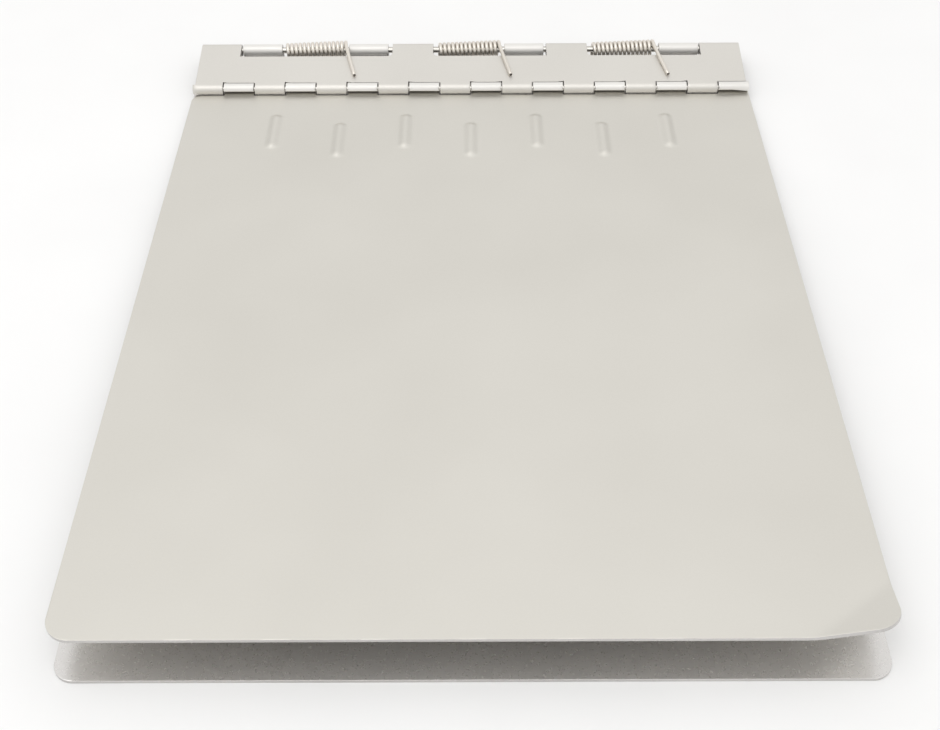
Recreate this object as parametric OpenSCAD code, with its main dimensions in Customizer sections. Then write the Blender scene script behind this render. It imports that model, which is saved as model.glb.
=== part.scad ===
// Flip-cover metal sheet holder.
// A back plate carries a spring-loaded clamp strip along its far edge, and a cover plate hangs
// from the front of that strip on a continuous hinge. X runs along the hinges, +Y points from
// the front edge to the hinges, and Z = 0 is the underside of the back plate.

/* [Sheets] */
// Width of the back plate and the cover along the hinges
width = 228.6; // [200:0.1:260]
// Length from the front edge of the back plate to the back of its hinge knuckles
length = 304.8; // [280:0.1:360]
// How far each end of the clamp strip stops short of the cover's sides
strip_inset = 1.1; // [0:0.1:3]
// Thickness of the sheet metal
sheet_t = 1.1; // [1:0.1:1.5]
// Radius of the back plate's front corners
plate_corner_r = 6; // [3:0.5:20]
// Radius of the cover's front corners
cover_corner_r = 7.5; // [3:0.5:20]
// Radius of the one free corner of the cover next to the hinge
hinge_corner_r = 4; // [1:0.5:8]

/* [Hinges] */
// Outer radius of every rolled knuckle
knuckle_r = 2.5; // [2.4:0.05:3]
// Play between a pin and its knuckles
pin_play = 0.08; // [0.02:0.01:0.1]
// Distance between the spring hinge pin and the cover hinge pin along Y
pin_spacing = 24.7; // [24:0.1:32]
// Height of the spring hinge pin
spring_pin_z = 6.6; // [5.6:0.1:7.2]
// Free height under the clamp strip's knuckles with nothing clamped
clamp_gap = 0.2; // [0.1:0.05:1]
// Number of knuckles along the cover hinge, shared in turn by the strip and the cover
cover_knuckles = 18; // [10:2:24]
// Side gap between neighbouring knuckles
knuckle_gap = 0.5; // [0.3:0.1:1]
// Angle that the knuckles of the back plate and the strip are rolled through
roll_angle = 285; // [270:5:300]
// Angle that the cover's knuckles are rolled through
cover_roll_angle = 262; // [250:1:285]

/* [Cover] */
// Length of the cover from its hinge pin to its front edge
cover_l = 275; // [240:1:330]
// Angle at which the cover stands open at rest
cover_tilt = 2.9; // [1:0.1:6]
// Lift angle of the bent thumb corner
thumb_angle = 17; // [5:1:20]
// Where the bend of the thumb corner meets the front edge, from the corner
thumb_front = 24; // [18:1:30]
// Where the bend of the thumb corner meets the side edge, from the corner
thumb_side = 19; // [16:1:30]

/* [Ribs] */
// Number of pressed ribs
rib_count = 7; // [3:2:7]
// Distance between neighbouring ribs
rib_pitch = 26; // [20:1:30]
// Overall length of a rib
rib_l = 25.5; // [16:0.5:30]
// Overall width of a rib
rib_w = 6; // [5:0.5:8]
// Height of a rib above the sheet
rib_h = 1; // [0.6:0.1:1.2]
// Distance from the cover's hinge pin to the near end of the outermost ribs
rib_start = 17.2; // [12:0.1:24]
// How much further every second rib is set
rib_stagger = 6.2; // [0:0.1:10]

/* [Springs] */
// Diameter of the spring wire
wire_d = 1.5; // [1.2:0.1:1.6]
// Mean radius of the coil
coil_r = 2.75; // [2.7:0.05:2.9]
// Length of the coil along the pin
coil_l = 26.6; // [24:0.1:27]
// Full turns in each coil, before the last quarter turn to the arm
coil_turns = 14; // [8:1:15]
// How far each end of the coil sits off the pin's axis
coil_sag = 0.6; // [0:0.05:0.6]
// Reach of the spring arm over the clamp strip
arm_reach = 20.5; // [12:0.5:22]
// Sideways splay of the spring arm at its tip
arm_splay = 4.6; // [0:0.1:7]

/* [Hidden] */
$fn = 96;
slack = 0.1;            // clearance where one sheet or wire stops just short of another
eps = 0.01;

// Cross-section places, as [y, z]
coil_back = coil_r + wire_d / 2;                    // the coils reach further back than the knuckles
front_y = -(length - knuckle_r + coil_back) / 2;
spring_pin = [front_y + length - knuckle_r, spring_pin_z];
cover_pin = [spring_pin[0] - pin_spacing, sheet_t + clamp_gap + knuckle_r];
bore_r = knuckle_r - sheet_t;
open_angle = 360 - roll_angle;
cover_open_angle = 360 - cover_roll_angle;
pin_r = bore_r - pin_play;
pin_inset = 0.2;        // each pin stops this far short of the sheets that turn on it

// Clamp strip, in a frame at the cover pin that points at the spring pin
strip_w = width - 2 * strip_inset;
strip_slope = atan2(spring_pin[1] - cover_pin[1], pin_spacing);
strip_l = norm(spring_pin - cover_pin);
strip_notch = 2.25;     // the strip stops this far behind the cover pin, beside the cover's knuckles
coil_notch = 7;         // depth of the notches for the springs, from the spring pin
notch_r = 2;

// The strip's far edge is laid out in fourteenths of its width, a tab being one of them, with notches
// between the tabs. Both are lists of [left end, right end].
unit = strip_w / 14;
tab_margin = 0.5;       // each tab reaches this far into the notches beside it
tabs = [for (start = [0, 5, 9, 13]) [
    max(-strip_w / 2, hundredth(start * unit - strip_w / 2 - tab_margin)),
    min(strip_w / 2, hundredth((start + 1) * unit - strip_w / 2 + tab_margin))]];
notches = [for (i = [1:len(tabs) - 1]) [tabs[i - 1][1], tabs[i][0]]];

function hundredth(x) = round(100 * x) / 100;

// Back plate knuckles and springs, as their left ends along X
plate_knuckle_w = 16.5;
plate_knuckles = [-95.9, -51.2, 14.3, 79.5];
spring_x = [-78.4, -13.9, 51.0];
plate_edge = coil_r - wire_d / 2 - slack;   // the plate's far edge, behind the spring pin
riser_bend_r = 1.6;                         // outer radius at the foot of each knuckle's riser

cover_notch = 2.65;     // the cover stops this far from its pin beside the strip's knuckles
cover_pitch = width / cover_knuckles;

// One turn is drawn in this many steps, and the wire with this many sides
turn_steps = 16;
wire_sides = 8;

// Places a shape drawn as [y, z] so that it runs along X from x0
module along_x(x0, l) {
    translate([x0, 0, 0]) rotate([90, 0, 90]) linear_extrude(l) children();
}

// Moves a shape drawn at the origin to a [y, z] place, turned by a about X
module at(place, a = 0) {
    translate([0, place[0], place[1]]) rotate([a, 0, 0]) children();
}

// Pie slice used to open a ring, from angle a through sweep degrees
module slice(a, sweep, r) {
    polygon([[0, 0], for (i = [0:4]) r * [cos(a + sweep * i / 4), sin(a + sweep * i / 4)]]);
}

// A knuckle's section: a rolled sheet whose open part of the turn runs from angle a upwards
module rolled(a, opening = open_angle) {
    difference() {
        circle(knuckle_r);
        circle(bore_r);
        slice(a, opening, 2 * knuckle_r);
    }
}

// A rectangle with two rounded corners at its low-y end
module round_front(w, l, r) {
    translate([-w / 2, r]) square([w, l - r]);
    translate([-w / 2 + r, 0]) square([w - 2 * r, r + eps]);
    for (side = [-1, 1]) translate([side * (w / 2 - r), r]) circle(r);
}

// ---------------------------------------------------------------- back plate
module back_plate() {
    plate_l = spring_pin[0] + plate_edge - front_y;
    color("gainsboro") union() {
        translate([0, front_y, 0]) linear_extrude(sheet_t) round_front(width, plate_l, plate_corner_r);
        for (x = plate_knuckles) plate_knuckle(x);
    }
}

// A tongue of the plate, bent up and rolled forwards over the spring pin
module plate_knuckle(x) {
    back = knuckle_r;
    along_x(x, plate_knuckle_w) translate(spring_pin) {
        rolled(roll_angle);
        translate([back - sheet_t, riser_bend_r - spring_pin[1]])
            square([sheet_t, spring_pin[1] - riser_bend_r]);
        translate([back - riser_bend_r, riser_bend_r - spring_pin[1]]) intersection() {
            difference() {
                circle(riser_bend_r);
                circle(riser_bend_r - sheet_t);
            }
            translate([0, -riser_bend_r]) square(riser_bend_r);
        }
        translate([0, -spring_pin[1]]) square([back - riser_bend_r, sheet_t]);
    }
}

// --------------------------------------------------------------- clamp strip
module clamp_strip() {
    color("lightgray") at(cover_pin, strip_slope) union() {
        translate([0, 0, knuckle_r - sheet_t]) linear_extrude(sheet_t) strip_outline();
        for (t = tabs)
            along_x(t[0], t[1] - t[0]) translate([strip_l, 0]) rolled(90);
        for (i = [0:2:cover_knuckles - 1])
            along_x(knuckle_x(i), knuckle_w(i)) rolled(90 - open_angle);
    }
}

function knuckle_x(i) = -width / 2 + i * cover_pitch + (i == 0 ? 0 : knuckle_gap / 2);
function knuckle_w(i) = cover_pitch - (i == 0 || i == cover_knuckles - 1 ? knuckle_gap / 2 : knuckle_gap);

module strip_outline() {
    difference() {
        translate([-strip_w / 2, strip_notch]) square([strip_w, strip_l - strip_notch]);
        for (n = notches) translate([(n[0] + n[1]) / 2, strip_l - coil_notch])
            round_front(n[1] - n[0], coil_notch + 1, notch_r);
    }
    // the necks of the knuckles, none of them wider than the strip
    intersection() {
        translate([-strip_w / 2, 0]) square([strip_w, strip_notch + eps]);
        for (i = [0:2:cover_knuckles - 1])
            translate([knuckle_x(i), -eps]) square([knuckle_w(i), strip_notch + 2 * eps]);
    }
}

// --------------------------------------------------------------- cover plate
// Drawn in a frame at the cover pin, with the cover running towards -Y
module cover_plate() {
    color("whitesmoke") at(cover_pin, -cover_tilt) union() {
        translate([0, 0, -knuckle_r]) {
            difference() {
                intersection() {
                    linear_extrude(sheet_t) cover_outline();
                    linear_extrude(sheet_t) thumb_side_of(true);
                }
                for (i = [0:rib_count - 1]) rib(i, rib_r() - sheet_t);
            }
            thumb_corner();
            for (i = [0:rib_count - 1]) difference() {
                intersection() {
                    rib(i, rib_r());
                    translate([-width / 2, -rib_start - rib_l - rib_stagger - 5, sheet_t / 2])
                        cube([width, rib_l + rib_stagger + 10, rib_h + sheet_t]);
                }
                rib(i, rib_r() - sheet_t);
            }
        }
        for (i = [1:2:cover_knuckles - 1])
            along_x(knuckle_x(i), knuckle_w(i)) rolled(270 - cover_open_angle, cover_open_angle);
    }
}

module cover_outline() {
    translate([0, -cover_l]) difference() {
        round_front(width, cover_l - cover_notch, cover_corner_r);
        // the free corner next to the hinge
        translate([-width / 2, cover_l - cover_notch - hinge_corner_r]) difference() {
            square(hinge_corner_r);
            translate([hinge_corner_r, 0]) circle(hinge_corner_r);
        }
    }
    for (i = [1:2:cover_knuckles - 1])
        translate([knuckle_x(i), -cover_notch - eps]) square([knuckle_w(i), cover_notch + eps]);
}

// The bend line of the thumb corner runs between these two points of the sheet
bend_a = [width / 2 - thumb_front, -cover_l];
bend_b = [width / 2, -cover_l + thumb_side];
bend_dir = atan2(bend_b[1] - bend_a[1], bend_b[0] - bend_a[0]);

module thumb_side_of(flat) {
    far = 400;
    translate(bend_a) rotate(bend_dir) translate([-far, flat ? 0 : -far]) square([2 * far, far]);
}

// The corner beyond the bend line, turned up about a line just above the underside of the sheet.
// It is a hair smaller than the sheet it joins, so that no two edges fall on each other.
module thumb_corner() {
    pivot = [bend_a[0], bend_a[1], 0.2];
    trim = 0.05;
    translate(pivot) rotate([0, 0, bend_dir]) rotate([-thumb_angle, 0, 0])
        rotate([0, 0, -bend_dir]) translate(-pivot)
            linear_extrude(sheet_t) intersection() {
                cover_outline();
                thumb_side_of(false);
                translate([0, trim - cover_l]) square([width / 2 - trim, cover_l]);
            }
}

// A rib's outer surface is a round bar, sunk so that only rib_h of it shows over rib_w
function rib_r() = (rib_w * rib_w / 4 + rib_h * rib_h) / (2 * rib_h);
function rib_x(i) = (i - (rib_count - 1) / 2) * rib_pitch;
function rib_far(i) = -rib_start - (i % 2) * rib_stagger;

module rib(i, r) {
    bar_l = rib_l - rib_w;
    translate([rib_x(i), rib_far(i) - rib_w / 2, sheet_t + rib_h - rib_r()]) rotate([90, 0, 0])
        rotate_extrude() intersection() {
            union() {
                circle(r);
                square([r, bar_l]);
                translate([0, bar_l]) circle(r);
            }
            translate([0, -r]) square([r, bar_l + 2 * r]);
        }
}

// ---------------------------------------------------------------------- pins
module hinge_pin(place, span) {
    l = span - 2 * pin_inset;
    color("silver") at(place) translate([-l / 2, 0, 0]) rotate([0, 90, 0]) cylinder(r = pin_r, h = l);
}

// ------------------------------------------------------------------- springs
// The wire runs from a tail behind the plate's edge, round the coil, to an arm on the strip.
// Angle 0 is the back of the coil and 90 its top.
coil_end = 360 * coil_turns + 90;
coil_steps = ceil(coil_end / 360 * turn_steps);
tail_end_z = 0.35;
arm_rest_z = cover_pin[1] + (pin_spacing - arm_reach) * tan(strip_slope)
    + knuckle_r / cos(strip_slope) + wire_d / 2 + slack;

function coil_x(x0, a) = x0 + wire_d / 2 + (coil_l - wire_d) * a / coil_end;
function coil_axis_z(a) = spring_pin[1] - coil_sag + 2 * coil_sag * a / coil_end;
function coil_point(x0, a) =
    [coil_x(x0, a), spring_pin[0] + coil_r * cos(a), coil_axis_z(a) + coil_r * sin(a)];
function arm_tip(x0) = [coil_x(x0, coil_end) + arm_splay, spring_pin[0] - arm_reach, arm_rest_z];
function wire_path(x0) = concat(
    [[coil_x(x0, 0), spring_pin[0] + coil_r, tail_end_z]],
    [for (i = [0:coil_steps]) coil_point(x0, coil_end * i / coil_steps)],
    [arm_tip(x0)]);
// The outward direction that each ring of the wire is built from
wire_out = concat([[0, 1, 0]],
    [for (i = [0:coil_steps]) let (a = coil_end * i / coil_steps) [0, cos(a), sin(a)]],
    [[0, 0, 1]]);

function unit_of(v) = v / norm(v);
function tangent(p, i) = unit_of(p[min(i + 1, len(p) - 1)] - p[max(i - 1, 0)]);

module wire(p, out) {
    n = len(p);
    points = [for (i = [0:n - 1]) let (
            t = tangent(p, i),
            side = unit_of(cross(t, out[i])),
            up = cross(side, t)
        ) for (k = [0:wire_sides - 1])
            p[i] + wire_d / 2 * (cos(360 * k / wire_sides) * up + sin(360 * k / wire_sides) * side)];
    walls = [for (i = [0:n - 2], k = [0:wire_sides - 1]) let (
            a = i * wire_sides + k,
            b = i * wire_sides + (k + 1) % wire_sides
        ) [a, b, b + wire_sides, a + wire_sides]];
    ends = [[for (k = [wire_sides - 1:-1:0]) k],
            [for (k = [0:wire_sides - 1]) (n - 1) * wire_sides + k]];
    polyhedron(points, concat(walls, ends), convexity = 10);
}

module spring(i) {
    color("darkgray") wire(wire_path(spring_x[i]), wire_out);
}

back_plate();
clamp_strip();
cover_plate();
hinge_pin(spring_pin, strip_w);  // spring_hinge_pin
hinge_pin(cover_pin, width);  // cover_hinge_pin
spring(0);  // left_spring
spring(1);  // middle_spring
spring(2);  // right_spring
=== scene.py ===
"""A flip-cover clipboard in sheet aluminium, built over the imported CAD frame.

Lengths are in millimetres here and become metres when a mesh is made. The frame's X runs along
the hinges, +Y points from the free edges to the hinges, and Z is up from the back plate.
"""

import math

import bpy
from mathutils import Matrix, Vector

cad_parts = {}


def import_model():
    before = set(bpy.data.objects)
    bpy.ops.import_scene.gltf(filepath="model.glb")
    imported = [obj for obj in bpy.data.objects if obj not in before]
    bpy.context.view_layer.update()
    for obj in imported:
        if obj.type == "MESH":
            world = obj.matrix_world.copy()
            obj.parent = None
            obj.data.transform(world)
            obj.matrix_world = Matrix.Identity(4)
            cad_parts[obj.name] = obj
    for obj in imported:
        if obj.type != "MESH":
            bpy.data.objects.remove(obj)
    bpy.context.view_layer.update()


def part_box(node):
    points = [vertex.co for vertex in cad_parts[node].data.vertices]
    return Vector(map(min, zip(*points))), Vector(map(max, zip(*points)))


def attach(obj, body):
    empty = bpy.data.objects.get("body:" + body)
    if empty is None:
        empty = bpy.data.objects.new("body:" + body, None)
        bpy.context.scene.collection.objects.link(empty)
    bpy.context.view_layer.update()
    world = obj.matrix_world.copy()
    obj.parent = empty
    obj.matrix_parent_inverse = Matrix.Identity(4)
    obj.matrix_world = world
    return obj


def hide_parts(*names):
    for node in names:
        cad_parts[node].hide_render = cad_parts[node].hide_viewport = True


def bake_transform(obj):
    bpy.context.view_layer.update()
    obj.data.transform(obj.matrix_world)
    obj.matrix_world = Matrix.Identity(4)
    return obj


MM = 0.001
TINY = 1e-6

# Sheet metal
SHEET_T = 1.1
HALF_T = SHEET_T / 2
EDGE_BEVEL = 0.18
BEVEL_ABOVE = math.radians(50)       # edges sharper than this are softened
SEAM_SLACK = 0.001                   # more than the grid's rounding, less than its smallest step
PLATE_CORNER_R = 6.0
COVER_CORNER_R = 7.5
HINGE_CORNER_R = 4.0

# Longest cells of the sheets' grids
FINE_STEP = 0.5
RIB_STEP = 0.6
THUMB_STEP = 1.0
STRIP_STEP = 3.0
PLATE_STEP_X, PLATE_STEP_V = 6.0, 20.0
COVER_STEP_X, COVER_STEP_V = 5.0, 12.0

# Rolled knuckles
KNUCKLE_R = 2.5
ROLL_R = KNUCKLE_R - HALF_T          # radius of the middle of the sheet
ROLL_ANGLE = math.radians(285)
COVER_ROLL_ANGLE = math.radians(262)
ROLL_STEP = math.radians(10) * ROLL_R
TONGUE_CORNER_R = 1.1                # at the free corners of each knuckle's sheet
COVER_TONGUE_CORNER_R = 1.5
COVER_KNUCKLES = 18
KNUCKLE_GAP = 0.5
COVER_NOTCH = 2.65                   # the cover stops here beside the strip's knuckles
STRIP_NOTCH = 1.6                    # the strip stops here beside the cover's knuckles
STRIP_MITRE = 0.65                   # its edge there leans over the knuckle by this each way

# Clamp strip: its far edge is laid out in fourteenths of the width
STRIP_INSET = 1.1                    # each end stops this far short of the cover's sides
KNUCKLE_DRESS = 0.5                  # how far the first knuckle's outer end is rounded in
STRIP_UNITS = 14
TABS = ((0, 1), (5, 6), (9, 10), (13, 14))
TAB_MARGIN = 0.5                     # each tab reaches this far into the notches beside it
SPRING_NOTCH = 7.0
SPRING_NOTCH_R = 2.0

# Back plate tongues that roll over the spring pin, as their left ends along X
PLATE_KNUCKLE_W = 16.5
PLATE_KNUCKLES = (-95.9, -51.2, 14.3, 79.5)
RISER_BEND_R = 1.6 - HALF_T
PLATE_OVERHANG = 1.9                 # the plate's far edge, behind the spring pin

# Cover
COVER_L = 275.0
COVER_TILT = math.radians(2.9)
CRIMP_LENGTH = 8.0                   # the outer end of the last knuckle is pressed shut
CRIMP_DEPTH = 0.6
CRIMP_START = math.radians(170)      # where on the roll the crimp starts, and how far it takes
CRIMP_SPREAD = 1.6
THUMB_FRONT = 24.0
THUMB_SIDE = 19.0
THUMB_ANGLE = math.radians(17)
THUMB_BEND_R = 14.0
RIB_COUNT = 7
RIB_PITCH = 26.0
RIB_START = 17.2
RIB_STAGGER = 6.2
RIB_LENGTH = 25.5
RIB_HALF_W = 3.3
RIB_HEIGHT = 1.0
RIB_MARGIN = 0.5                     # fine cells go on this far beside the ribs
RIB_END_MARGIN = 1.0                 # and this far past their ends

# Springs
WIRE_R = 0.75
COIL_R = 2.75
COIL_LENGTH = 26.6
COIL_TURNS = 14.25
COIL_SAG = 0.6
COIL_STARTS = (-78.4, -13.9, 51.0)
SPRING_NAMES = ("left_spring", "middle_spring", "right_spring")
ARM_REACH = 20.5
ARM_SPLAY = 4.6
ARM_KNEE = (0.4, -4.0, 0.0)          # the arm leaves the coil's end towards this point
ARM_CLEARANCE = 0.05
TAIL_Z = 0.35
TAIL_STEPS = 6
COIL_STEPS = 28                      # in one turn
ARM_STEPS = 14
WIRE_SIDES = 14
WIRE_CHAMFER = 0.12

# Pins: the profile of an end, as (share of the radius, share of the dome's height)
PIN_SIDES = 32
PIN_DOME = 0.35
PIN_PROFILE = ((0.3, 0.34), (0.6, 0.3), (1.0, 0.12), (1.0, -0.25), (0.97, -0.9))

# Camera, in millimetres and degrees
CAMERA_AT = (0.0, -350.9, 321.7)
CAMERA_PITCH = 45.26
CAMERA_YAW = -0.10
CAMERA_ROLL = 0.28
CAMERA_LENS = 52.085

# Strength of the surrounding light at the horizon and straight above
WORLD_LOW = 0.68
WORLD_HIGH = 0.98

# Lights aimed at the origin: name, place, width, height and power in watts
LIGHTS = (("overhead", (-260, -380, 1350), 1400, 1100, 5.8),
          ("back", (0, 1700, 1350), 2000, 1600, 0.8))

FLOOR_R = 3000.0
FLOOR_SIDES = 64
FLOOR_Z = -0.05

# The part of a noise texture's range that colours and gloss are spread over
NOISE_LOW, NOISE_HIGH = 0.3, 0.7
TONE_SCALE = 18.0
BUMP_STRENGTH = 0.6

# Places in a sheet's and a wire's lists of materials
FACE, BACK, EDGE = 0, 1, 2
WIRE_SIDE, WIRE_END = 0, 1


# ------------------------------------------------------------------ small helpers
def clamp(value, low=0.0, high=1.0):
    return max(low, min(high, value))


def smooth(t):
    t = clamp(t)
    return t * t * (3 - 2 * t)


def turned(a):
    """The y and z of a unit vector at angle a from +Y towards +Z."""
    return math.cos(a), math.sin(a)


def grid_lines(breaks, step_in):
    """Every break, with even steps between neighbours no longer than step_in(middle)."""
    breaks = sorted(set(round(b, 4) for b in breaks))
    lines = [breaks[0]]
    for low, high in zip(breaks, breaks[1:]):
        count = max(1, math.ceil((high - low) / step_in((low + high) / 2) - TINY))
        lines += [low + (high - low) * i / count for i in range(1, count + 1)]
    return lines


def mesh_object(name, points, faces, slots=None, materials=()):
    """A mesh from points in millimetres, with each face's material slot."""
    mesh = bpy.data.meshes.new(name)
    mesh.from_pydata([(x * MM, y * MM, z * MM) for x, y, z in points], [], faces)
    for material in materials:
        mesh.materials.append(material)
    if slots:
        mesh.polygons.foreach_set("material_index", slots)
    mesh.polygons.foreach_set("use_smooth", [True] * len(faces))
    mesh.update()
    made = bpy.data.objects.new(name, mesh)
    bpy.context.collection.objects.link(made)
    return made


# ------------------------------------------------------------------ folded sheets
class Corner:
    """Rounds a square corner of a grid: points inside its square move to a quarter disc."""

    def __init__(self, x, y, side_x, side_y, radius):
        self.centre = (x - side_x * radius, y - side_y * radius)
        self.side = (side_x, side_y)
        self.radius = radius

    def rounded(self, x, y):
        u = (x - self.centre[0]) * self.side[0] / self.radius
        v = (y - self.centre[1]) * self.side[1] / self.radius
        if not (-TINY <= u <= 1 + TINY and -TINY <= v <= 1 + TINY):
            return x, y
        disc_u = u * math.sqrt(1 - v * v / 2)
        disc_v = v * math.sqrt(1 - u * u / 2)
        return (self.centre[0] + self.side[0] * self.radius * disc_u,
                self.centre[1] + self.side[1] * self.radius * disc_v)

    def breaks(self):
        xs = (self.centre[0], self.centre[0] + self.side[0] * self.radius)
        ys = (self.centre[1], self.centre[1] + self.side[1] * self.radius)
        return xs, ys


def folded_sheet(name, columns, rows, part_at, place, corners, materials, seam=math.inf):
    """A sheet of even thickness over a grid of x columns and rows along the metal.

    part_at(x, v) names the part that a cell belongs to, or gives None where there is no metal.
    Past the row at seam, cells of different parts share no points, as on either side of a slit.
    place(x, v, part) gives the middle of the sheet and the normal of its face side.
    """
    points, faces, slots = [], [], []
    index, sides = {}, set()

    def point(i, j, part):
        key = (i, j, part if rows[j] > seam + SEAM_SLACK else "")
        if key not in index:
            x, v = columns[i], rows[j]
            for corner in corners:
                x, v = corner.rounded(x, v)
            middle, normal = place(x, v, key[2])
            index[key] = len(points) // 2
            points.append([m + HALF_T * n for m, n in zip(middle, normal)])
            points.append([m - HALF_T * n for m, n in zip(middle, normal)])
        return index[key]

    for i in range(len(columns) - 1):
        for j in range(len(rows) - 1):
            part = part_at((columns[i] + columns[i + 1]) / 2, (rows[j] + rows[j + 1]) / 2)
            if part is None:
                continue
            ring = [point(i, j, part), point(i + 1, j, part),
                    point(i + 1, j + 1, part), point(i, j + 1, part)]
            faces.append([2 * p for p in ring])
            faces.append([2 * p + 1 for p in reversed(ring)])
            slots += [FACE, BACK]
            sides.update(zip(ring, ring[1:] + ring[:1]))

    for a, b in sorted(sides):
        if (b, a) not in sides:
            faces.append([2 * b, 2 * a, 2 * a + 1, 2 * b + 1])
            slots.append(EDGE)

    made = mesh_object(name, points, faces, slots, materials)
    bevel = made.modifiers.new("soft edges", "BEVEL")
    bevel.width = EDGE_BEVEL * MM
    bevel.segments = 2
    bevel.limit_method = "ANGLE"
    bevel.angle_limit = BEVEL_ABOVE
    weighted = made.modifiers.new("even shading", "WEIGHTED_NORMAL")
    weighted.keep_sharp = False
    return made


class PinFrame:
    """Places a sheet drawn at the origin on a hinge pin, turned about X."""

    def __init__(self, pin, angle):
        self.pin = pin
        self.along_y = turned(angle)
        self.along_z = turned(angle + math.pi / 2)

    def place(self, middle, normal):
        y, z = self.turn(middle[1], middle[2])
        ny, nz = self.turn(normal[1], normal[2])
        return ((middle[0], y + self.pin[0], z + self.pin[1]), (normal[0], ny, nz))

    def turn(self, y, z):
        return (y * self.along_y[0] + z * self.along_z[0],
                y * self.along_y[1] + z * self.along_z[1])


# ------------------------------------------------------------------ the frame's own sizes
def read_frame():
    """Sizes of the CAD frame in millimetres. A pin's place is the y and z of its axis."""
    low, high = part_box("back_plate")
    size = {"width": (high[0] - low[0]) / MM, "front": low[1] / MM}
    for pin in ("spring", "cover"):
        low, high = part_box(pin + "_hinge_pin")
        size[pin + "_pin"] = ((low[1] + high[1]) / 2 / MM, (low[2] + high[2]) / 2 / MM)
        size[pin + "_pin_reach"] = high[0] / MM
        size["pin_r"] = (high[2] - low[2]) / 2 / MM
    return size


def knuckle_span(size, i):
    """The x range of knuckle i of the cover hinge. Even ones are the strip's, odd ones the cover's."""
    pitch = size["width"] / COVER_KNUCKLES
    low = -size["width"] / 2 + i * pitch
    inner = KNUCKLE_GAP / 2
    return (low + (inner if i > 0 else 0),
            low + pitch - (inner if i < COVER_KNUCKLES - 1 else 0))


def in_spans(x, spans):
    return any(low < x < high for low, high in spans)


def span_breaks(spans, inset=0.0):
    return [b for low, high in spans for b in (low, low + inset, high - inset, high)]


def end_corners(spans, v, side, radius=TONGUE_CORNER_R):
    """Small round corners at a tongue's free end."""
    return [Corner(x, v, side_x, side, radius)
            for span in spans for x, side_x in zip(span, (-1, 1))]


# ------------------------------------------------------------------ back plate
def build_back_plate(size, materials):
    half_w = size["width"] / 2
    pin_y, pin_z = size["spring_pin"]
    bend_y = pin_y + ROLL_R - RISER_BEND_R
    bend_l = RISER_BEND_R * math.pi / 2
    riser_l = pin_z - HALF_T - RISER_BEND_R
    roll_at = bend_y + bend_l + riser_l
    end = roll_at + ROLL_ANGLE * ROLL_R
    tongues = [(x, x + PLATE_KNUCKLE_W) for x in PLATE_KNUCKLES]
    edge_y = pin_y + PLATE_OVERHANG

    def part_at(x, v):
        if v < bend_y:
            return "flat"
        if in_spans(x, tongues):
            return "tongue"
        return "edge" if v < edge_y else None

    def place(x, v, part):
        if v <= bend_y or part == "edge":
            return (x, v, HALF_T), (0, 0, 1)
        if v <= bend_y + bend_l:
            a = (v - bend_y) / RISER_BEND_R
            return ((x, bend_y + RISER_BEND_R * math.sin(a),
                     HALF_T + RISER_BEND_R * (1 - math.cos(a))),
                    (0, -math.sin(a), math.cos(a)))
        if v <= roll_at:
            return (x, pin_y + ROLL_R, pin_z - (roll_at - v)), (0, -1, 0)
        c, s = turned((v - roll_at) / ROLL_R)
        return (x, pin_y + ROLL_R * c, pin_z + ROLL_R * s), (0, -c, -s)

    corners = [Corner(side * half_w, size["front"], side, -1, PLATE_CORNER_R) for side in (-1, 1)]
    corners += end_corners(tongues, end, 1)
    corner_xs = [x for corner in corners[:2] for x in corner.breaks()[0]]
    corner_v = size["front"] + PLATE_CORNER_R

    def column_step(x):
        return FINE_STEP if abs(x) > half_w - PLATE_CORNER_R else PLATE_STEP_X

    def row_step(v):
        if v < corner_v:
            return FINE_STEP
        return PLATE_STEP_V if v < bend_y else ROLL_STEP

    columns = grid_lines(corner_xs + span_breaks(tongues, TONGUE_CORNER_R), column_step)
    rows = grid_lines([size["front"], corner_v, bend_y, edge_y, bend_y + bend_l, roll_at,
                       end - TONGUE_CORNER_R, end], row_step)
    return folded_sheet("back_plate_sheet", columns, rows, part_at, place, corners,
                        materials, seam=bend_y)


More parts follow.
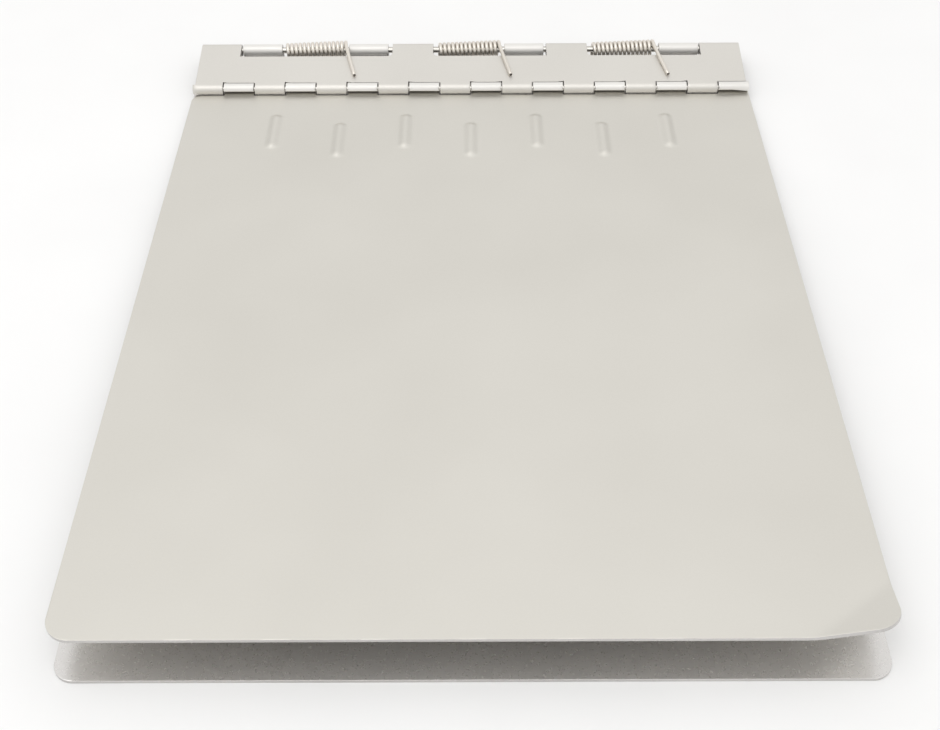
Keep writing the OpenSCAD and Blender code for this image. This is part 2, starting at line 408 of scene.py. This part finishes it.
# ------------------------------------------------------------------ clamp strip
def build_clamp_strip(size, materials):
    half_w = size["width"] / 2
    rise = [a - b for a, b in zip(size["spring_pin"], size["cover_pin"])]
    length = math.hypot(*rise)
    frame = PinFrame(size["cover_pin"], math.atan2(rise[1], rise[0]))
    roll_l = ROLL_ANGLE * ROLL_R
    half_strip = half_w - STRIP_INSET
    unit = 2 * half_strip / STRIP_UNITS
    tabs = [(max(low * unit - half_strip - TAB_MARGIN, -half_strip),
             min(high * unit - half_strip + TAB_MARGIN, half_strip)) for low, high in TABS]
    knuckles = [knuckle_span(size, i) for i in range(0, COVER_KNUCKLES, 2)]
    notch_v = length - SPRING_NOTCH

    def part_at(x, v):
        if v < STRIP_NOTCH:
            return "near" if in_spans(x, knuckles) and (v < 0 or x > -half_strip) else None
        if v > notch_v:
            return "far" if in_spans(x, tabs) else None
        return "flat" if abs(x) < half_strip else None

    def place(x, v, part):
        if v < 0:
            # the first knuckle's outer end is dressed round
            over = clamp((STRIP_INSET - half_w - x) / STRIP_INSET)
            r = ROLL_R - KNUCKLE_DRESS * (1 - math.sqrt(1 - over * over))
            c, s = turned(math.pi / 2 - v / ROLL_R)
            return frame.place((x, r * c, r * s), (0, c, s))
        if v <= length:
            at_notch = abs(v - STRIP_NOTCH) < TINY and not in_spans(x, knuckles)
            lean = STRIP_MITRE / HALF_T if at_notch else 0
            return frame.place((x, v, ROLL_R), (0, -lean, 1))
        c, s = turned(math.pi / 2 - (v - length) / ROLL_R)
        return frame.place((x, length + ROLL_R * c, ROLL_R * s), (0, c, s))

    corners = end_corners(knuckles, -roll_l, -1) + end_corners(tabs, length + roll_l, 1)
    notch_corners = []                   # the x ranges of the spring notches' round corners
    for left, right in zip(tabs, tabs[1:]):
        corners.append(Corner(left[1], notch_v, -1, -1, SPRING_NOTCH_R))
        corners.append(Corner(right[0], notch_v, 1, -1, SPRING_NOTCH_R))
        notch_corners.append((left[1], left[1] + SPRING_NOTCH_R))
        notch_corners.append((right[0] - SPRING_NOTCH_R, right[0]))

    def column_step(x):
        return FINE_STEP if in_spans(x, notch_corners) else STRIP_STEP

    def row_step(v):
        if v < 0 or v > length:
            return ROLL_STEP
        return FINE_STEP if notch_v < v < notch_v + SPRING_NOTCH_R else STRIP_STEP

    columns = grid_lines(span_breaks(knuckles, TONGUE_CORNER_R) + span_breaks(tabs, TONGUE_CORNER_R)
                         + span_breaks(notch_corners) + [-half_strip, half_strip], column_step)
    rows = grid_lines([-roll_l, -roll_l + TONGUE_CORNER_R, 0, STRIP_NOTCH, notch_v,
                       notch_v + SPRING_NOTCH_R, length, length + roll_l - TONGUE_CORNER_R,
                       length + roll_l], row_step)
    return folded_sheet("clamp_strip_sheet", columns, rows, part_at, place, corners, materials)


# ------------------------------------------------------------------ cover
def rib_x(i):
    return (i - (RIB_COUNT - 1) / 2) * RIB_PITCH


def rib_height(x, y):
    """How far the cover is pressed up at a place: seven round-ended ribs in two staggered rows."""
    i = round(x / RIB_PITCH + (RIB_COUNT - 1) / 2)
    if not 0 <= i < RIB_COUNT:
        return 0.0
    across = x - rib_x(i)
    far = -RIB_START - (i % 2) * RIB_STAGGER - RIB_HALF_W
    near = far - (RIB_LENGTH - 2 * RIB_HALF_W)
    along = y - clamp(y, near, far)
    away = math.hypot(across, along) / RIB_HALF_W
    return RIB_HEIGHT * (1 + math.cos(math.pi * min(away, 1))) / 2


class ThumbBend:
    """Bends the sheet up beyond a slanting line across its front right corner."""

    def __init__(self, half_w):
        self.start = (half_w - THUMB_FRONT, -COVER_L)
        slant = math.atan2(THUMB_SIDE, THUMB_FRONT)
        self.out = (math.sin(slant), -math.cos(slant))
        self.arc = THUMB_BEND_R * THUMB_ANGLE

    def bent(self, x, y, z):
        past = (x - self.start[0]) * self.out[0] + (y - self.start[1]) * self.out[1]
        past += self.arc / 2
        if past <= 0:
            return (x, y, z), (0, 0, 1)
        a = min(past, self.arc) / THUMB_BEND_R
        flat = max(past - self.arc, 0)
        reach = THUMB_BEND_R * math.sin(a) + flat * math.cos(a)
        rise = THUMB_BEND_R * (1 - math.cos(a)) + flat * math.sin(a)
        middle = (x + (reach - past) * self.out[0], y + (reach - past) * self.out[1], z + rise)
        return middle, (-math.sin(a) * self.out[0], -math.sin(a) * self.out[1], math.cos(a))


def build_cover(size, materials):
    half_w = size["width"] / 2
    frame = PinFrame(size["cover_pin"], -COVER_TILT)
    roll_l = COVER_ROLL_ANGLE * ROLL_R
    knuckles = [knuckle_span(size, i) for i in range(1, COVER_KNUCKLES, 2)]
    thumb = ThumbBend(half_w)
    crimp_from = half_w - CRIMP_LENGTH

    def part_at(x, v):
        return "cover" if v < -COVER_NOTCH or in_spans(x, knuckles) else None

    def place(x, v, part):
        if v <= 0:
            middle, normal = thumb.bent(x, v, rib_height(x, v) - ROLL_R)
            return frame.place(middle, normal)
        # the last knuckle's free edge is crimped down at its outer end
        a = v / ROLL_R
        pressed = smooth((x - crimp_from) / CRIMP_LENGTH) * smooth((a - CRIMP_START) / CRIMP_SPREAD)
        c, s = turned(a - math.pi / 2)
        return frame.place((x, ROLL_R * c, ROLL_R * s - CRIMP_DEPTH * pressed), (0, -c, -s))

    front = [Corner(side * half_w, -COVER_L, side, -1, COVER_CORNER_R) for side in (-1, 1)]
    hinge = Corner(-half_w, -COVER_NOTCH, -1, 1, HINGE_CORNER_R)
    corners = front + [hinge] + end_corners(knuckles, roll_l, 1, COVER_TONGUE_CORNER_R)
    ribs = [(rib_x(i) - RIB_HALF_W - RIB_MARGIN, rib_x(i) + RIB_HALF_W + RIB_MARGIN)
            for i in range(RIB_COUNT)]
    thumb_x = half_w - THUMB_FRONT - thumb.arc
    thumb_v = -COVER_L + THUMB_SIDE + thumb.arc
    rib_rows = (-RIB_START - RIB_STAGGER - RIB_LENGTH - RIB_END_MARGIN, -RIB_START + RIB_END_MARGIN)

    def column_step(x):
        if in_spans(x, ribs) or abs(x) > half_w - COVER_CORNER_R:
            return FINE_STEP
        return THUMB_STEP if x > thumb_x else COVER_STEP_X

    def row_step(v):
        if v > 0:
            return ROLL_STEP
        if in_spans(v, [rib_rows]) or v > -COVER_NOTCH - HINGE_CORNER_R:
            return RIB_STEP
        if v < -COVER_L + COVER_CORNER_R:
            return FINE_STEP
        return THUMB_STEP if v < thumb_v else COVER_STEP_V

    columns = grid_lines(span_breaks(knuckles, COVER_TONGUE_CORNER_R) + span_breaks(ribs)
                         + [-half_w, -half_w + HINGE_CORNER_R, -half_w + COVER_CORNER_R,
                            half_w - COVER_CORNER_R, thumb_x, half_w], column_step)
    rows = grid_lines([-COVER_L, -COVER_L + COVER_CORNER_R, thumb_v, *rib_rows,
                       -COVER_NOTCH - HINGE_CORNER_R, -COVER_NOTCH, 0,
                       roll_l - COVER_TONGUE_CORNER_R, roll_l], row_step)
    return folded_sheet("cover_sheet", columns, rows, part_at, place, corners, materials)


# ------------------------------------------------------------------ pins and springs
def tube_walls(rings, sides):
    """The faces between neighbouring rings, whose points follow each other."""
    return [[i * sides + k, i * sides + (k + 1) % sides,
             (i + 1) * sides + (k + 1) % sides, (i + 1) * sides + k]
            for i in range(rings - 1) for k in range(sides)]


def tube_ends(rings, sides):
    """The faces that close the first and the last ring."""
    return [list(range(sides))[::-1], list(range((rings - 1) * sides, rings * sides))]


def build_pin(name, place, reach, r, material):
    """A drawn pin with slightly domed, burred ends, reaching as far to each side."""
    rings = [(-reach - out * PIN_DOME, r * share) for share, out in PIN_PROFILE]
    rings += [(-x, ring_r) for x, ring_r in reversed(rings)]
    points = []
    for x, ring_r in rings:
        for k in range(PIN_SIDES):
            c, s = turned(2 * math.pi * k / PIN_SIDES)
            points.append((x, place[0] + ring_r * c, place[1] + ring_r * s))
    faces = tube_walls(len(rings), PIN_SIDES) + tube_ends(len(rings), PIN_SIDES)
    return mesh_object(name, points, faces, None, [material])


def spring_path(x0, size):
    """The wire's middle line: a tail behind the plate, the coil, and an arm out over the strip."""
    pin_y, pin_z = size["spring_pin"]
    turn = 2 * math.pi * COIL_TURNS
    steps = round(COIL_TURNS * COIL_STEPS)

    def coil(i):
        share = i / steps
        c, s = turned(turn * share)
        return Vector((x0 + WIRE_R + (COIL_LENGTH - 2 * WIRE_R) * share,
                       pin_y + COIL_R * c,
                       pin_z + COIL_SAG * (2 * share - 1) + COIL_R * s))

    coiled = [coil(i) for i in range(steps + 1)]
    foot = Vector((coiled[0].x, coiled[0].y, TAIL_Z))
    tail = [foot.lerp(coiled[0], i / TAIL_STEPS) for i in range(TAIL_STEPS)]
    return tail + coiled + arm_points(coiled[-1], size)


def arm_points(root, size):
    """The arm bends sideways just off the coil and comes down to rest on the strip."""
    near_y, near_z = size["cover_pin"]
    far_y, far_z = size["spring_pin"]
    slope = (far_z - near_z) / (far_y - near_y)
    tip_y = far_y - ARM_REACH
    strip_z = near_z + slope * (tip_y - near_y) + KNUCKLE_R * math.hypot(1, slope)
    tip = Vector((root.x + ARM_SPLAY, tip_y, strip_z + WIRE_R + ARM_CLEARANCE))
    knee = root + Vector(ARM_KNEE)
    points = []
    for i in range(1, ARM_STEPS + 1):
        t = i / ARM_STEPS
        points.append(root * (1 - t) ** 2 + knee * (2 * t * (1 - t)) + tip * t * t)
    return points


def build_wire(name, path, materials):
    """A round wire along a path, with a chamfered cut at each end."""
    first, last = path[0] - path[1], path[-1] - path[-2]
    centres = [path[0]] + path + [path[-1]]
    centres[1] = path[0] - first.normalized() * WIRE_CHAMFER
    centres[-2] = path[-1] - last.normalized() * WIRE_CHAMFER
    radii = [WIRE_R - WIRE_CHAMFER] + [WIRE_R] * len(path) + [WIRE_R - WIRE_CHAMFER]
    points = []
    side = Vector((1, 0, 0))
    for i, centre in enumerate(centres):
        along = centres[min(i + 1, len(centres) - 1)] - centres[max(i - 1, 0)]
        side = (side - along * side.dot(along) / along.length_squared).normalized()
        up = along.cross(side).normalized()
        for k in range(WIRE_SIDES):
            c, s = turned(2 * math.pi * k / WIRE_SIDES)
            points.append(centre + radii[i] * (c * side + s * up))
    walls = tube_walls(len(centres), WIRE_SIDES)
    ends = tube_ends(len(centres), WIRE_SIDES)
    # the end faces take the near-black material, which is painted shade on the cut ends
    slots = [WIRE_SIDE] * len(walls) + [WIRE_END] * len(ends)
    return mesh_object(name, points, walls + ends, slots, materials)


# ------------------------------------------------------------------ materials
def new_material(name):
    """A material, its nodes, its links and its shader."""
    material = bpy.data.materials.new(name)
    material.use_nodes = True
    nodes = material.node_tree.nodes
    return material, nodes, material.node_tree.links, nodes["Principled BSDF"]


def noise(nodes, links, scale, stretch=(1, 1, 1), detail=3.0):
    """Noise in the piece's own coordinates, stretched along its axes."""
    where = nodes.new("ShaderNodeTexCoord")
    mapping = nodes.new("ShaderNodeMapping")
    mapping.inputs["Scale"].default_value = stretch
    texture = nodes.new("ShaderNodeTexNoise")
    texture.inputs["Scale"].default_value = scale
    texture.inputs["Detail"].default_value = detail
    links.new(where.outputs["Object"], mapping.inputs["Vector"])
    links.new(mapping.outputs["Vector"], texture.inputs["Vector"])
    return texture.outputs["Fac"]


def ranged(nodes, links, value, low, high, from_low=NOISE_LOW, from_high=NOISE_HIGH):
    """A number from low to high as the value goes from from_low to from_high."""
    spread = nodes.new("ShaderNodeMapRange")
    for socket, number in (("From Min", from_low), ("From Max", from_high),
                           ("To Min", low), ("To Max", high)):
        spread.inputs[socket].default_value = number
    links.new(value, spread.inputs["Value"])
    return spread.outputs["Result"]


def mixed(nodes, links, value, low, high):
    """A colour from low to high over the noise's range."""
    ramp = nodes.new("ShaderNodeValToRGB")
    ramp.color_ramp.elements[0].position = NOISE_LOW
    ramp.color_ramp.elements[1].position = NOISE_HIGH
    ramp.color_ramp.elements[0].color = (*low, 1)
    ramp.color_ramp.elements[1].color = (*high, 1)
    links.new(value, ramp.inputs["Fac"])
    return ramp.outputs["Color"]


def metal(name, low, high, metallic, roughness, grain, bump):
    """Sheet or wire metal: a slow change of tone, a fine grain in the gloss, and a fine bump.

    roughness is its range, grain is (scale, stretch) of the fine noise, and bump its depth in mm.
    """
    material, nodes, links, shader = new_material(name)
    slow = noise(nodes, links, TONE_SCALE, detail=2.0)
    fine = noise(nodes, links, grain[0], grain[1], detail=4.0)
    links.new(mixed(nodes, links, slow, low, high), shader.inputs["Base Color"])
    links.new(ranged(nodes, links, fine, *roughness), shader.inputs["Roughness"])
    shader.inputs["Metallic"].default_value = metallic
    relief = nodes.new("ShaderNodeBump")
    relief.inputs["Distance"].default_value = bump * MM
    relief.inputs["Strength"].default_value = BUMP_STRENGTH
    links.new(fine, relief.inputs["Height"])
    links.new(relief.outputs["Normal"], shader.inputs["Normal"])
    return material


def make_materials():
    even = (1, 1, 1)
    rolled = (0.08, 1, 1)                # drawn out along X
    return {
        "cover": metal("cover_face", (0.71, 0.69, 0.64), (0.74, 0.72, 0.67), 0.90,
                       (0.38, 0.48), (1500.0, even), 0.012),
        "strip": metal("strip_face", (0.72, 0.70, 0.66), (0.75, 0.73, 0.69), 0.85,
                       (0.48, 0.58), (1500.0, even), 0.012),
        "plate": metal("plate_face", (0.74, 0.725, 0.71), (0.77, 0.755, 0.74), 0.95,
                       (0.27, 0.29), (1500.0, even), 0.0004),
        "back": metal("bright_back", (0.77, 0.755, 0.725), (0.82, 0.805, 0.775), 0.35,
                      (0.36, 0.48), (1300.0, rolled), 0.006),
        # the sheets' cut edges and slit sides are given a darker tone than the faces: painted shade on
        # the thin edges and in the gaps between knuckles
        "edge": metal("cut_edge_painted_shade", (0.54, 0.525, 0.51), (0.64, 0.625, 0.61), 0.80,
                      (0.32, 0.48), (2200.0, (1, 1, 0.15)), 0.01),
        "pin": metal("drawn_steel", (0.56, 0.54, 0.50), (0.68, 0.66, 0.62), 1.0,
                     (0.18, 0.30), (1800.0, rolled), 0.004),
        "wire": metal("spring_wire", (0.77, 0.725, 0.66), (0.85, 0.805, 0.74), 0.88,
                      (0.32, 0.44), (1600.0, even), 0.006),
        # the wire's cut end faces, made near black: the cut steel with painted shade standing for the
        # shadow at the arm's tip
        "cut": metal("cut_wire_painted_shade", (0.10, 0.09, 0.085), (0.20, 0.18, 0.17), 0.9,
                     (0.40, 0.60), (2600.0, even), 0.02),
        "floor": metal("pale_floor", (0.89, 0.89, 0.89), (0.91, 0.91, 0.91), 0.0,
                       (0.75, 0.85), (60.0, even), 0.0),
    }


# ------------------------------------------------------------------ scene
def build_floor(material):
    points = []
    for k in range(FLOOR_SIDES):
        c, s = turned(2 * math.pi * k / FLOOR_SIDES)
        points.append((FLOOR_R * c, FLOOR_R * s, FLOOR_Z))
    floor = mesh_object("floor", points, [list(range(FLOOR_SIDES))], None, [material])


def area_light(name, at, width, height, power):
    light = bpy.data.lights.new(name, "AREA")
    light.shape = "RECTANGLE"
    light.size, light.size_y = width * MM, height * MM
    light.energy = power
    lamp = bpy.data.objects.new(name, light)
    lamp.location = Vector(at) * MM
    lamp.rotation_euler = (-Vector(at)).to_track_quat("-Z", "Y").to_euler()
    bpy.context.collection.objects.link(lamp)


def build_lights():
    world = bpy.data.worlds.new("studio")
    world.use_nodes = True
    background = world.node_tree.nodes["Background"]
    background.inputs["Color"].default_value = (1.0, 0.995, 0.985, 1)
    nodes, links = world.node_tree.nodes, world.node_tree.links
    height = nodes.new("ShaderNodeSeparateXYZ")
    links.new(nodes.new("ShaderNodeTexCoord").outputs["Generated"], height.inputs["Vector"])
    strength = ranged(nodes, links, height.outputs["Z"], WORLD_LOW, WORLD_HIGH, 0.0, 1.0)
    links.new(strength, background.inputs["Strength"])
    bpy.context.scene.world = world
    for light in LIGHTS:
        area_light(*light)


def build_camera():
    pitch, yaw, roll = (math.radians(a) for a in (CAMERA_PITCH, CAMERA_YAW, CAMERA_ROLL))
    forward = Vector((math.sin(yaw) * math.cos(pitch), math.cos(yaw) * math.cos(pitch),
                      -math.sin(pitch)))
    level = forward.cross(Vector((0, 0, 1))).normalized()
    down = forward.cross(level)
    right = level * math.cos(roll) + down * math.sin(roll)
    down = down * math.cos(roll) - level * math.sin(roll)
    turn = Matrix((right, -down, -forward)).transposed()
    camera = bpy.data.cameras.new("camera")
    camera.lens = CAMERA_LENS
    camera.sensor_width = 36.0
    camera.clip_start = 0.01
    camera.clip_end = 20.0
    rig = bpy.data.objects.new("camera", camera)
    rig.matrix_world = Matrix.Translation(Vector(CAMERA_AT) * MM) @ turn.to_4x4()
    bpy.context.collection.objects.link(rig)
    bpy.context.scene.camera = rig


def main():
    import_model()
    size = read_frame()
    materials = make_materials()

    sheets = ((build_back_plate, "back_plate", "base", "plate"),
              (build_clamp_strip, "clamp_strip", "clamp", "strip"),
              (build_cover, "cover_plate", "cover", "cover"))
    for build, node, body, face in sheets:
        piece = build(size, [materials[face], materials["back"], materials["edge"]])
        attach(piece, body)
        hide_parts(node)

    for pin, body in (("spring", "base"), ("cover", "clamp")):
        node = pin + "_hinge_pin"
        piece = build_pin(node + "_rod", size[pin + "_pin"], size[pin + "_pin_reach"],
                          size["pin_r"], materials["pin"])
        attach(piece, body)
        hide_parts(node)

    for node, x0 in zip(SPRING_NAMES, COIL_STARTS):
        piece = build_wire(node + "_wire", spring_path(x0, size), [materials["wire"], materials["cut"]])
        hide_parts(node)
        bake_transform(piece)

    build_floor(materials["floor"])
    build_lights()
    build_camera()
    bpy.context.scene.view_settings.view_transform = "Standard"


main()
